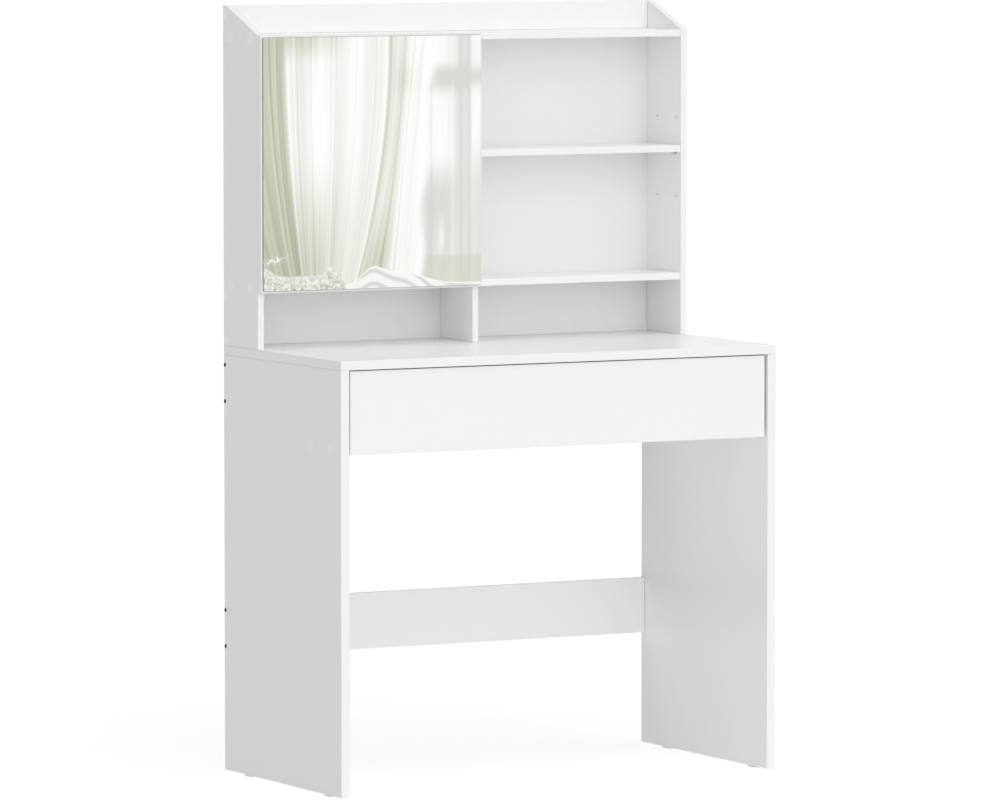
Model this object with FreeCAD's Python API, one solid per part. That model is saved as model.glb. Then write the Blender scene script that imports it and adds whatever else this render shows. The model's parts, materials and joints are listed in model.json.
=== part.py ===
import FreeCAD, Part
import math
import os

# Vanity table: a desk with one drawer, and a shelf hutch on it with a mirror door on the left.
# Millimetres. +X is to a seated user's right, +Y is to the back, +Z is up.
# The origin is on the floor, under the middle of the desk.

Vector = FreeCAD.Vector
RIGHT = Vector(1, 0, 0)
BACK = Vector(0, 1, 0)
UP = Vector(0, 0, 1)
SIDES = (("left", -1), ("right", 1))

# ---------------------------------------------------------------- driving dimensions
WIDTH = 860.0
DEPTH = 450.0
HEIGHT = 1350.0
DESK_HEIGHT = 753.0
PANEL = 16.0              # desk sides, desktop and drawer front
BOARD = 12.0              # rails, hutch boards, drawer box and mirror door
HARDBOARD = 3.0           # hutch back and drawer bottom
GLIDE_HEIGHT = 3.0
EDGE_EASE = 0.4           # slope on the edges of every edged board
SEAM = 0.2                # hairline between boards that stand on each other
JOINT_GAP = 0.4           # room left at the end of a board that sits between two others
FIT_GAP = 0.1             # room round a fastener in its hole

RAIL_HEIGHT = 100.0       # upper back rail and lower stretcher
STRETCHER_BOTTOM = 204.0
RAIL_SCREW_SPREAD = 32.0  # each black screw above or below the middle of its rail
RAIL_SCREW_FROM_BACK = 4.4
FRONT_RAIL_SETBACK = 25.0
FRONT_RAIL_DEPTH = 100.0
FRONT_RAIL_BOTTOM = 595.0
FRONT_RAIL_SCREW_SPREAD = 35.5

HUTCH_DEPTH = 134.0
TOP_SHELF_TOP = 1300.0
SIDE_FRONT_TOP = 1301.0   # front corner of the hutch side, where its slope ends
SIDE_FLAT_TOP = 13.0      # level stretch of the hutch side's top, at the back
MIDDLE_SHELF_TOP = 1093.0
LOWER_SHELF_TOP = 864.0
BACK_PANEL_SETBACK = 9.6  # back face of the hardboard, from the back of the hutch
GROOVE_DEPTH = 4.0
SHELF_SCREW_FROM_BACK = (28.0, 105.0)
SHELF_END_GAP = 0.8       # room at each end of a loose shelf
CABINET_SHELF_SETBACK = 4.0
TOP_RAIL_SCREW_UP = 32.0  # screw in the top back rail, above the top shelf
BACK_BOARD_SCREW_IN = 11.0  # screws of the bottom back board from its edges

PIN_RADIUS = 2.4
PIN_HOLE_RADIUS = 2.5
PIN_HOLE_DEPTH = 5.6
PIN_IN_WALL = 5.2
PIN_OUT = 8.0
PIN_FROM_FRONT = 17.5
PIN_FROM_BACK = 48.0
SPARE_HOLE_STEPS = (-77.0, 64.0)  # the other two rows of shelf holes, from the row in use

DRAWER_FRONT_SETBACK = 4.0
DRAWER_FRONT_SIDE_GAP = 4.0
DRAWER_FRONT_TOP_GAP = 2.0
DRAWER_FRONT_HEIGHT = 144.0
SLIDE_GAP = 12.7          # between a desk side and the drawer box
DRAWER_BOX_BOTTOM = 618.0
DRAWER_BOX_HEIGHT = 90.0
DRAWER_BOX_DEPTH = 370.0
DRAWER_BOTTOM_UP = 8.0    # from the lower edge of the drawer sides to its bottom board
DRAWER_GROOVE = 5.0
SLIDE_LENGTH = 350.0
SLIDE_SHEET = 1.2
SLIDE_CENTRE_UP = 45.0    # from the lower edge of the drawer sides
SLIDE_FRONT_GAP = 2.0
SLIDE_SCREW_SHARES = (0.1, 0.5, 0.9)  # of the slide's length

DOOR_GAP = 1.0            # between the closed door and the front of the hutch
TAPE = 0.3
GLASS = 3.0
GLASS_RIM = 3.0
GLASS_CORNER = 3.0
HINGE_INSET = 70.0        # hinge centre from the door's top and bottom edges
DOOR_AXIS_IN = 2.0        # turning axis from the door's left edge
HINGE_CUP_OFFSET = 16.0   # cup centre from the turning axis
CUP_RADIUS = 13.0
CUP_DEPTH = 10.0
CUP_WALL = 0.7
CUP_FLANGE_RADIUS = 14.5
CUP_FLANGE = 0.8
LINK_PIVOT = (14.5, 5.6)  # link pivot from the turning axis, to the right and to the back
LINK_LENGTH = 11.0
LINK_TILT = 5.0           # degrees from the plane of the closed door
LINK_HALF_WIDTH = 3.5
LINK_HALF_THICKNESS = 1.0
LINK_EYE_RADIUS = 1.9
HINGE_PIN_RADIUS = 0.9
ARM_CHEEK = 1.2
ARM_BOSS_RADIUS = 2.0
ARM_DEPTH = 20.0          # inner face of the hinge arm from the turning axis
ARM_REACH = 60.0          # back end of the hinge arm from the turning axis
NOSE_END = 17.0           # back end of the arm's tapered nose, from the turning axis
PIN_RUNNING_GAP = 0.05
LINK_SIDE_GAP = 0.3       # between the link and each cheek of the arm
PLATE_THICKNESS = 2.0
PLATE_MIDDLE = 40.0       # middle of the hinge plate from the turning axis
PLATE_HALF_LENGTH = 16.0
PLATE_HALF_HEIGHT = 16.0
PLATE_SCREW_SPREAD = 11.0
TAPE_HALF_WIDTH = 12.0
TAPE_END_GAP = 30.0
TAPE_SHARES = (0.15, 0.5, 0.85)  # of the door's width
BUMPER_RADIUS = 4.0
BUMPER_THICKNESS = 0.6
BUMPER_IN = 25.0          # bumper centre from the door's top and bottom edges

# steel slide channels, as distances from the desk side into the table
CABINET_HALF_HEIGHT = 17.5
CABINET_FLANGE = 10.4
MIDDLE_WEB = 1.9
MIDDLE_FLANGE = 10.7
MIDDLE_HALF_HEIGHT = 15.6
DRAWER_FLANGE = 3.8
DRAWER_HALF_HEIGHT = 13.7

# fasteners: (head radius, head length), (shank radius, shank length)
CONFIRMAT_SHORT = ((4.5, 2.5), (2.5, 37.0))
CONFIRMAT_LONG = ((4.5, 2.5), (2.5, 47.0))
BLACK_SCREW = ((3.5, 0.8), (2.0, 48.0))
SLOT_DEPTH = 1.6          # the black screws' driver slot
SLOT_LENGTH = 4.4
SLOT_WIDTH = 0.75
UPWARD_SCREW = ((4.0, 2.0), (2.0, 38.0))
DOWNWARD_SCREW = ((3.5, 2.0), (2.0, 33.0))
DRAWER_BACK_SCREW = ((3.5, 2.0), (1.9, 33.0))
SLIDE_SCREW = ((3.0, 1.0), (1.7, 9.0))
PLATE_SCREW = ((3.0, 1.4), (1.7, 9.0))
ARM_SCREW = ((2.6, 1.0), (1.5, 7.0))
DRAWER_CAM = (6.0, 9.0)   # radius and depth
DESKTOP_CAM = (7.5, 12.3)
CAM_DROP = 24.0           # cam centre from the joint it pulls together
CAM_YS = (-150.0, 150.0)
DIVIDER_SCREW_STEPS = (30.0, 92.0)  # these three from the front of the hutch
UPWARD_SCREW_STEPS = (32.0, 96.0)
DOWEL_STEPS = (14.0, 62.0)
CAM_BOLT_RADIUS = 3.0
CAM_BOLT_IN = 10.0        # how far a cam's bolt goes into the board it holds
DRAWER_CAM_STEPS = (22.0, 72.0)
DOWEL_RADIUS = 3.0
DOWEL_IN = 14.0
DRAWER_BOLT_RADIUS = 2.5
LARGE_CAP_RADIUS = 10.0
SMALL_CAP_RADIUS = 7.0
CAP_THICKNESS = 0.3
SMALL_CAP_FROM_BACK = 8.0
GLIDE_HALF_WIDTH = 6.5
GLIDE_HALF_LENGTH = 13.5
GLIDE_NAIL = (1.5, 14.0)
GLIDE_FROM_FRONT = 60.0
GLIDE_FROM_BACK = 85.0

# ---------------------------------------------------------------- places worked out from them
OUTER_X = WIDTH / 2
FRONT_Y = -DEPTH / 2
BACK_Y = DEPTH / 2
DESK_INNER_X = OUTER_X - PANEL
HUTCH_INNER_X = OUTER_X - BOARD
DESKTOP_UNDER = DESK_HEIGHT - PANEL
RAIL_FRONT_Y = BACK_Y - BOARD
UPPER_RAIL_BOTTOM = DESKTOP_UNDER - RAIL_HEIGHT
FRONT_RAIL_Y = FRONT_Y + FRONT_RAIL_SETBACK
HUTCH_FRONT_Y = BACK_Y - HUTCH_DEPTH
HUTCH_BOTTOM = DESK_HEIGHT + SEAM
TOP_SHELF_UNDER = TOP_SHELF_TOP - BOARD
LOWER_SHELF_UNDER = LOWER_SHELF_TOP - BOARD
MIDDLE_SHELF_UNDER = MIDDLE_SHELF_TOP - BOARD
DIVIDER_HALF = BOARD / 2
BACK_PANEL_Y = BACK_Y - BACK_PANEL_SETBACK - HARDBOARD
PIN_Z = MIDDLE_SHELF_UNDER - PIN_RADIUS - FIT_GAP
DIVIDER_YS = tuple(HUTCH_FRONT_Y + step for step in DIVIDER_SCREW_STEPS)
UPWARD_YS = tuple(HUTCH_FRONT_Y + step for step in UPWARD_SCREW_STEPS)
DOWEL_YS = tuple(HUTCH_FRONT_Y + step for step in DOWEL_STEPS)
GLIDE_YS = (FRONT_Y + GLIDE_FROM_FRONT, BACK_Y - GLIDE_FROM_BACK)
PIN_YS = (HUTCH_FRONT_Y + PIN_FROM_FRONT, BACK_Y - PIN_FROM_BACK)

DRAWER_FRONT_Y = FRONT_Y + DRAWER_FRONT_SETBACK
DRAWER_BOX_Y = DRAWER_FRONT_Y + PANEL
DRAWER_BACK_Y = DRAWER_BOX_Y + DRAWER_BOX_DEPTH
DRAWER_FRONT_TOP = DESKTOP_UNDER - DRAWER_FRONT_TOP_GAP
DRAWER_OUTER_X = DESK_INNER_X - SLIDE_GAP
DRAWER_INNER_X = DRAWER_OUTER_X - BOARD
DRAWER_BOX_TOP = DRAWER_BOX_BOTTOM + DRAWER_BOX_HEIGHT
DRAWER_BOTTOM_Z = DRAWER_BOX_BOTTOM + DRAWER_BOTTOM_UP
SLIDE_Z = DRAWER_BOX_BOTTOM + SLIDE_CENTRE_UP
SLIDE_Y = DRAWER_BOX_Y + SLIDE_FRONT_GAP
SLIDE_SCREW_YS = tuple(SLIDE_Y + SLIDE_LENGTH * share for share in SLIDE_SCREW_SHARES)

DOOR_LEFT = -OUTER_X
DOOR_RIGHT = DIVIDER_HALF
DOOR_BOTTOM = LOWER_SHELF_UNDER
DOOR_TOP = TOP_SHELF_TOP
DOOR_BACK_Y = HUTCH_FRONT_Y - DOOR_GAP
DOOR_FRONT_Y = DOOR_BACK_Y - BOARD
AXIS_X = DOOR_LEFT + DOOR_AXIS_IN
AXIS_Y = DOOR_FRONT_Y
HINGE_ZS = (DOOR_BOTTOM + HINGE_INSET, DOOR_TOP - HINGE_INSET)
ARM_HALF_WIDTH = LINK_HALF_WIDTH + LINK_SIDE_GAP + ARM_CHEEK


# ---------------------------------------------------------------- shapes used by many parts
def block(x_range, y_range, z_range):
    """A plain block between two x, two y and two z values."""
    low_x, high_x = sorted(x_range)
    low_y, high_y = y_range
    low_z, high_z = z_range
    corner = Vector(low_x, low_y, low_z)
    return Part.makeBox(high_x - low_x, high_y - low_y, high_z - low_z, corner)


def board(x_range, y_range, z_range):
    """A block with the slightly sloped edges of an edged board."""
    return eased(block(x_range, y_range, z_range))


def eased(solid):
    return solid.makeChamfer(EDGE_EASE, solid.Edges)


def rod(start, direction, length, radius):
    """A round bar from start along direction."""
    return Part.makeCylinder(radius, length, start, direction)


def prism(points, direction):
    """A closed outline of points swept along direction."""
    outline = Part.makePolygon(list(points) + [points[0]])
    return Part.Face(outline).extrude(direction)


def fastener(place, direction, sizes, gap=0.0):
    """A screw with its head's outer face at place. With a gap it is the hole for that screw."""
    (head_radius, head_length), (shank_radius, shank_length) = sizes
    head = rod(place - direction * gap, direction, head_length + gap, head_radius + gap)
    neck = place + direction * head_length
    shank = rod(neck, direction, shank_length + gap, shank_radius + gap)
    return head.fuse(shank)


def drilled(solid, places, direction, sizes):
    """The solid with a hole for a screw at each place."""
    return solid.cut([fastener(place, direction, sizes, FIT_GAP) for place in places])


def cross_slot(place):
    """Two crossed bars that make the driver slot in a screw head whose axis is along X."""
    level = Vector(SLOT_DEPTH, SLOT_LENGTH / 2, SLOT_WIDTH / 2)
    upright = Vector(SLOT_DEPTH, SLOT_WIDTH / 2, SLOT_LENGTH / 2)
    bars = []
    for half in (level, upright):
        bars.append(Part.makeBox(2 * half.x, 2 * half.y, 2 * half.z, place - half))
    return bars[0].fuse(bars[1])


def save(name, *solids):
    """Writes one node, which may be several separate solids."""
    pieces = [solid for shape in solids for solid in shape.Solids]
    shape = pieces[0] if len(pieces) == 1 else Part.makeCompound(pieces)
    shape.exportStep("parts/" + name + ".step")


# ---------------------------------------------------------------- screw places
def inward(sign):
    """From a side's outer face to the middle of the table."""
    return Vector(-sign, 0, 0)


def outward(sign):
    return Vector(sign, 0, 0)


def back_rail_places(sign):
    """The black screws of the upper rail and the lower stretcher. Their heads stand on the face."""
    middles = (UPPER_RAIL_BOTTOM + RAIL_HEIGHT / 2, STRETCHER_BOTTOM + RAIL_HEIGHT / 2)
    heights = [z + step for z in middles for step in (-RAIL_SCREW_SPREAD, RAIL_SCREW_SPREAD)]
    head_x = sign * (OUTER_X + BLACK_SCREW[0][1])
    return [Vector(head_x, BACK_Y - RAIL_SCREW_FROM_BACK, z) for z in heights]


def front_rail_places(sign):
    middle = FRONT_RAIL_Y + FRONT_RAIL_DEPTH / 2
    steps = (-FRONT_RAIL_SCREW_SPREAD, FRONT_RAIL_SCREW_SPREAD)
    height = FRONT_RAIL_BOTTOM + BOARD / 2
    return [Vector(sign * OUTER_X, middle + step, height) for step in steps]


def shelf_screw_places(sign, shelf_top):
    height = shelf_top - BOARD / 2
    return [Vector(sign * OUTER_X, BACK_Y - back, height) for back in SHELF_SCREW_FROM_BACK]


def top_rail_places(sign):
    return [Vector(sign * OUTER_X, BACK_Y - BOARD / 2, TOP_SHELF_TOP + TOP_RAIL_SCREW_UP)]


def back_board_places(sign):
    heights = (DESK_HEIGHT + BACK_BOARD_SCREW_IN, LOWER_SHELF_UNDER - BACK_BOARD_SCREW_IN)
    return [Vector(sign * OUTER_X, BACK_Y - BOARD / 2, z) for z in heights]


def upward_places(x):
    """Screws that come up through the desktop into a board that stands on it."""
    return [Vector(x, y, DESKTOP_UNDER) for y in UPWARD_YS]


def all_upward_places():
    middles = (-OUTER_X + BOARD / 2, 0.0, OUTER_X - BOARD / 2)
    return [place for x in middles for place in upward_places(x)]


def downward_places():
    """Screws through the top shelf into the upper divider."""
    return [Vector(0, y, TOP_SHELF_TOP) for y in DIVIDER_YS]


def desk_slide_places(sign):
    """Heads lie in the web of the fixed slide, shanks in the desk side."""
    head_x = sign * (DESK_INNER_X - SLIDE_SCREW[0][1])
    return [Vector(head_x, y, SLIDE_Z) for y in SLIDE_SCREW_YS]


def drawer_slide_places(sign):
    head_x = sign * (DRAWER_OUTER_X + SLIDE_SCREW[0][1])
    return [Vector(head_x, y, SLIDE_Z) for y in SLIDE_SCREW_YS]


def drawer_back_places(sign):
    heights = [DRAWER_BOX_BOTTOM + step for step in DRAWER_CAM_STEPS]
    return [Vector(sign * DRAWER_OUTER_X, DRAWER_BACK_Y - BOARD / 2, z) for z in heights]


# ---------------------------------------------------------------- desk
def desktop_bolt(sign, y, gap=0.0):
    start = Vector(sign * (OUTER_X - PANEL / 2), y, DESKTOP_UNDER - CAM_DROP)
    return rod(start, UP, CAM_DROP + CAM_BOLT_IN + gap, CAM_BOLT_RADIUS + gap)


def desktop_cam(sign, y, gap=0.0):
    """Round cam in the inner face of a desk side."""
    radius, depth = DESKTOP_CAM
    start = Vector(sign * DESK_INNER_X, y, DESKTOP_UNDER - CAM_DROP)
    return rod(start, outward(sign), depth + gap, radius + gap)


def glide_nail(sign, y, gap=0.0):
    radius, length = GLIDE_NAIL
    start = Vector(sign * (OUTER_X - PANEL / 2), y, GLIDE_HEIGHT / 2)
    return rod(start, UP, length + gap, radius + gap)


def glide(sign, y):
    """Oblong glide with round ends and its nail."""
    x = sign * (OUTER_X - PANEL / 2)
    straight = GLIDE_HALF_LENGTH - GLIDE_HALF_WIDTH
    x_range = (x - GLIDE_HALF_WIDTH, x + GLIDE_HALF_WIDTH)
    foot = block(x_range, (y - straight, y + straight), (0, GLIDE_HEIGHT))
    ends = [rod(Vector(x, y + step, 0), UP, GLIDE_HEIGHT, GLIDE_HALF_WIDTH) for step in (-straight, straight)]
    return foot.fuse(ends).removeSplitter().fuse(glide_nail(sign, y))


def desk_side(sign):
    height = (GLIDE_HEIGHT, DESKTOP_UNDER - SEAM)
    side = board((sign * DESK_INNER_X, sign * OUTER_X), (FRONT_Y, BACK_Y), height)
    side = drilled(side, front_rail_places(sign), inward(sign), CONFIRMAT_LONG)
    side = drilled(side, back_rail_places(sign), inward(sign), BLACK_SCREW)
    side = drilled(side, desk_slide_places(sign), outward(sign), SLIDE_SCREW)
    side = side.cut([desktop_cam(sign, y, FIT_GAP) for y in CAM_YS])
    side = side.cut([desktop_bolt(sign, y, FIT_GAP) for y in CAM_YS])
    return side.cut([glide_nail(sign, y, FIT_GAP) for y in GLIDE_YS])


def desktop():
    top = board((-OUTER_X, OUTER_X), (FRONT_Y, BACK_Y), (DESKTOP_UNDER, DESK_HEIGHT))
    top = drilled(top, all_upward_places(), UP, UPWARD_SCREW)
    top = top.cut([desktop_bolt(sign, y, FIT_GAP) for _, sign in SIDES for y in CAM_YS])
    return top.cut([dowel(y, DESK_HEIGHT, FIT_GAP) for y in DOWEL_YS])


def rail(y_range, z_range, places, sizes):
    """A board between the desk sides, drilled at both ends."""
    reach = DESK_INNER_X - JOINT_GAP
    made = board((-reach, reach), y_range, z_range)
    for _, sign in SIDES:
        made = drilled(made, places(sign), inward(sign), sizes)
    return made


def screws(places, sizes, slotted=False):
    """One screw at each place of each side, pointing to the middle."""
    made = []
    for _, sign in SIDES:
        for place in places(sign):
            screw = fastener(place, inward(sign), sizes)
            if slotted:
                screw = screw.cut(cross_slot(place))
            made.append(screw)
    return made


def caps(places, radius, shift=0.0):
    """Thin round stickers over the screw heads of both sides."""
    made = []
    for _, sign in SIDES:
        for place in places(sign):
            made.append(rod(place - BACK * shift, outward(sign), CAP_THICKNESS, radius))
    return made


# ---------------------------------------------------------------- hutch
def dowel(y, joint_z, gap=0.0):
    """Upright dowel under or through the lower divider, centred on a joint."""
    start = Vector(0, y, joint_z - DOWEL_IN - gap)
    return rod(start, UP, 2 * DOWEL_IN + 2 * gap, DOWEL_RADIUS + gap)


def long_dowel(y, gap=0.0):
    """Dowel that passes through the lower shelf into both dividers."""
    start = Vector(0, y, LOWER_SHELF_UNDER - DOWEL_IN - gap)
    return rod(start, UP, BOARD + 2 * DOWEL_IN + 2 * gap, DOWEL_RADIUS + gap)


def pin_hole(wall_x, into_wall, y, z):
    return rod(Vector(wall_x, y, z), into_wall, PIN_HOLE_DEPTH, PIN_HOLE_RADIUS)


def pin_holes(wall_x, into_wall):
    """Three rows of two shelf holes in one face."""
    rows = [PIN_Z + step for step in (0.0,) + SPARE_HOLE_STEPS]
    return [pin_hole(wall_x, into_wall, y, z) for z in rows for y in PIN_YS]


def groove(reach):
    """Room for the edge of the hutch back, GROOVE_DEPTH into the shelves and sides."""
    y_range = (BACK_PANEL_Y - FIT_GAP, BACK_PANEL_Y + HARDBOARD + FIT_GAP)
    z_range = (LOWER_SHELF_TOP - GROOVE_DEPTH, TOP_SHELF_UNDER + GROOVE_DEPTH)
    return block((-reach, reach), y_range, z_range)


def hutch_side(sign):
    """Tall board with a top that slopes down to the front."""
    outline = (
        Vector(sign * OUTER_X, HUTCH_FRONT_Y, HUTCH_BOTTOM),
        Vector(sign * OUTER_X, HUTCH_FRONT_Y, SIDE_FRONT_TOP),
        Vector(sign * OUTER_X, BACK_Y - SIDE_FLAT_TOP, HEIGHT),
        Vector(sign * OUTER_X, BACK_Y, HEIGHT),
        Vector(sign * OUTER_X, BACK_Y, HUTCH_BOTTOM),
    )
    side = eased(prism(outline, inward(sign) * BOARD))
    side = side.cut(groove(HUTCH_INNER_X + GROOVE_DEPTH))
    for top in (TOP_SHELF_TOP, LOWER_SHELF_TOP):
        side = drilled(side, shelf_screw_places(sign, top), inward(sign), CONFIRMAT_SHORT)
    side = drilled(side, top_rail_places(sign) + back_board_places(sign), inward(sign), CONFIRMAT_SHORT)
    side = drilled(side, upward_places(sign * (OUTER_X - BOARD / 2)), UP, UPWARD_SCREW)
    side = side.cut(pin_holes(sign * HUTCH_INNER_X, outward(sign)))
    if sign < 0:
        side = drilled(side, plate_screw_places(), outward(sign), PLATE_SCREW)
    return side


def fixed_shelf(top):
    """Full-depth board between the hutch sides."""
    reach = HUTCH_INNER_X - JOINT_GAP
    shelf = board((-reach, reach), (HUTCH_FRONT_Y, BACK_Y), (top - BOARD, top))
    shelf = shelf.cut(groove(HUTCH_INNER_X))
    for _, sign in SIDES:
        shelf = drilled(shelf, shelf_screw_places(sign, top), inward(sign), CONFIRMAT_SHORT)
    return shelf


def top_shelf():
    return drilled(fixed_shelf(TOP_SHELF_TOP), downward_places(), -UP, DOWNWARD_SCREW)


def lower_shelf():
    return fixed_shelf(LOWER_SHELF_TOP).cut([long_dowel(y, FIT_GAP) for y in DOWEL_YS])


def loose_shelf(inner_x, outer_x, front_y):
    """Shelf that lies on four pins."""
    y_range = (front_y, BACK_PANEL_Y - JOINT_GAP)
    x_range = (inner_x + SHELF_END_GAP, outer_x - SHELF_END_GAP)
    return board(x_range, y_range, (MIDDLE_SHELF_UNDER, MIDDLE_SHELF_TOP))


def lower_divider():
    divider = board((-DIVIDER_HALF, DIVIDER_HALF), (HUTCH_FRONT_Y, RAIL_FRONT_Y - JOINT_GAP),
                    (HUTCH_BOTTOM, LOWER_SHELF_UNDER - SEAM))
    divider = drilled(divider, upward_places(0.0), UP, UPWARD_SCREW)
    divider = divider.cut([dowel(y, DESK_HEIGHT, FIT_GAP) for y in DOWEL_YS])
    return divider.cut([long_dowel(y, FIT_GAP) for y in DOWEL_YS])


def upper_divider():
    divider = board((-DIVIDER_HALF, DIVIDER_HALF), (HUTCH_FRONT_Y, BACK_PANEL_Y - JOINT_GAP),
                    (LOWER_SHELF_TOP + SEAM, TOP_SHELF_UNDER - SEAM))
    divider = drilled(divider, downward_places(), -UP, DOWNWARD_SCREW)
    divider = divider.cut([long_dowel(y, FIT_GAP) for y in DOWEL_YS])
    for _, sign in SIDES:
        divider = divider.cut(pin_holes(sign * DIVIDER_HALF, inward(sign)))
    return divider


def back_board(z_range, places):
    """Upright board between the hutch sides, flush with their back."""
    reach = HUTCH_INNER_X - JOINT_GAP
    made = board((-reach, reach), (RAIL_FRONT_Y, BACK_Y), z_range)
    for _, sign in SIDES:
        made = drilled(made, places(sign), inward(sign), CONFIRMAT_SHORT)
    return made


def hutch_back_panel():
    reach = HUTCH_INNER_X + GROOVE_DEPTH - JOINT_GAP
    z_range = (LOWER_SHELF_TOP - GROOVE_DEPTH + JOINT_GAP, TOP_SHELF_UNDER + GROOVE_DEPTH - JOINT_GAP)
    return block((-reach, reach), (BACK_PANEL_Y, BACK_PANEL_Y + HARDBOARD), z_range)


def shelf_pins():
    """Four pins for each loose shelf."""
    made = []
    for _, sign in SIDES:
        for wall_x, into_wall in ((sign * HUTCH_INNER_X, outward(sign)), (sign * DIVIDER_HALF, inward(sign))):
            for y in PIN_YS:
                start = Vector(wall_x, y, PIN_Z) - into_wall * PIN_OUT
                made.append(rod(start, into_wall, PIN_OUT + PIN_IN_WALL, PIN_RADIUS))
    return made


# ---------------------------------------------------------------- drawer slides
def slide_channel(sign, web, flange_end, half_height):
    """Channel of sheet steel. web and flange_end are distances from the desk side, into the table."""
    web_out, web_in = web
    y_range = (SLIDE_Y, SLIDE_Y + SLIDE_LENGTH)
    web_x = (sign * (DESK_INNER_X - web_out), sign * (DESK_INNER_X - web_in))
    channel = block(web_x, y_range, (SLIDE_Z - half_height, SLIDE_Z + half_height))
    edges = sorted((web_out, web_in, flange_end))
    flange_x = (sign * (DESK_INNER_X - edges[0]), sign * (DESK_INNER_X - edges[-1]))
    low = (SLIDE_Z - half_height, SLIDE_Z - half_height + SLIDE_SHEET)
    high = (SLIDE_Z + half_height - SLIDE_SHEET, SLIDE_Z + half_height)
    flanges = [block(flange_x, y_range, z_range) for z_range in (low, high)]
    return channel.fuse(flanges).removeSplitter()


def cabinet_slide(sign):
    """Fixed channel, open to the drawer."""
    channel = slide_channel(sign, (0.0, SLIDE_SHEET), CABINET_FLANGE, CABINET_HALF_HEIGHT)
    return drilled(channel, desk_slide_places(sign), outward(sign), SLIDE_SCREW)


def middle_slide(sign):
    """Channel that runs inside the fixed one at half the drawer's travel."""
    web = (MIDDLE_WEB, MIDDLE_WEB + SLIDE_SHEET)
    return slide_channel(sign, web, MIDDLE_FLANGE, MIDDLE_HALF_HEIGHT)


def drawer_slide(sign):
    """Channel on the drawer side, open to the desk side."""
    web = (SLIDE_GAP - SLIDE_SHEET, SLIDE_GAP)
    channel = slide_channel(sign, web, DRAWER_FLANGE, DRAWER_HALF_HEIGHT)
    return drilled(channel, drawer_slide_places(sign), inward(sign), SLIDE_SCREW)


# ---------------------------------------------------------------- drawer
def drawer_cam_heights():
    return [DRAWER_BOX_BOTTOM + step for step in DRAWER_CAM_STEPS]


def drawer_cam(sign, z, gap=0.0):
    """Round cam in the inner face of a drawer side, near the front."""
    radius, depth = DRAWER_CAM
    start = Vector(sign * DRAWER_INNER_X, DRAWER_BOX_Y + CAM_DROP, z)
    return rod(start, outward(sign), depth + gap, radius + gap)


def drawer_bolt(sign, z, gap=0.0):
    start = Vector(sign * (DRAWER_OUTER_X - BOARD / 2), DRAWER_BOX_Y + CAM_DROP, z)
    return rod(start, -BACK, CAM_DROP + CAM_BOLT_IN + gap, DRAWER_BOLT_RADIUS + gap)


def drawer_bottom(gap=0.0):
    """Thin board whose edges sit in grooves. With a gap it is those grooves."""
    reach = DRAWER_INNER_X + DRAWER_GROOVE - JOINT_GAP + gap * 2
    y_range = (DRAWER_BOX_Y - DRAWER_GROOVE + JOINT_GAP - gap * 2,
               DRAWER_BACK_Y - BOARD + DRAWER_GROOVE - JOINT_GAP + gap * 2)
    return block((-reach, reach), y_range, (DRAWER_BOTTOM_Z - gap, DRAWER_BOTTOM_Z + HARDBOARD + gap))


def drawer_front():
    reach = DESK_INNER_X - DRAWER_FRONT_SIDE_GAP
    y_range = (DRAWER_FRONT_Y, DRAWER_BOX_Y)
    front = board((-reach, reach), y_range, (DRAWER_FRONT_TOP - DRAWER_FRONT_HEIGHT, DRAWER_FRONT_TOP))
    bolts = [drawer_bolt(sign, z, FIT_GAP) for _, sign in SIDES for z in drawer_cam_heights()]
    return front.cut(bolts + [drawer_bottom(FIT_GAP)])


def drawer_side(sign):
    x_range = (sign * DRAWER_INNER_X, sign * DRAWER_OUTER_X)
    side = board(x_range, (DRAWER_BOX_Y, DRAWER_BACK_Y), (DRAWER_BOX_BOTTOM, DRAWER_BOX_TOP))
    cams = [drawer_cam(sign, z, FIT_GAP) for z in drawer_cam_heights()]
    bolts = [drawer_bolt(sign, z, FIT_GAP) for z in drawer_cam_heights()]
    side = side.cut(cams + bolts + [drawer_bottom(FIT_GAP)])
    side = drilled(side, drawer_slide_places(sign), inward(sign), SLIDE_SCREW)
    return drilled(side, drawer_back_places(sign), inward(sign), DRAWER_BACK_SCREW)


def drawer_back():
    reach = DRAWER_INNER_X - JOINT_GAP
    z_range = (DRAWER_BOX_BOTTOM, DRAWER_BOX_TOP)
    made = board((-reach, reach), (DRAWER_BACK_Y - BOARD, DRAWER_BACK_Y), z_range)
    for _, sign in SIDES:
        made = drilled(made, drawer_back_places(sign), inward(sign), DRAWER_BACK_SCREW)
    return made.cut(drawer_bottom(FIT_GAP))


# ---------------------------------------------------------------- mirror door and its hinges
def from_axis(right, back, z=0.0):
    """A point placed from the door's turning axis."""
    return Vector(AXIS_X + right, AXIS_Y + back, z)


def cup_body(z, gap=0.0):
    """Outside of a hinge cup, with its flange flush in the back of the door."""
    mouth = from_axis(HINGE_CUP_OFFSET, BOARD, z)
    barrel = rod(mouth, -BACK, CUP_DEPTH + gap, CUP_RADIUS + gap)
    return barrel.fuse(rod(mouth, -BACK, CUP_FLANGE + gap, CUP_FLANGE_RADIUS + gap))


def hinge_cup(z):
    mouth = from_axis(HINGE_CUP_OFFSET, BOARD, z)
    hollow = rod(mouth, -BACK, CUP_DEPTH - CUP_WALL, CUP_RADIUS - CUP_WALL)
    return cup_body(z).cut(hollow)


def door_board():
    door = board((DOOR_LEFT, DOOR_RIGHT), (DOOR_FRONT_Y, DOOR_BACK_Y), (DOOR_BOTTOM, DOOR_TOP))
    return door.cut([cup_body(z, FIT_GAP) for z in HINGE_ZS])


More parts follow.
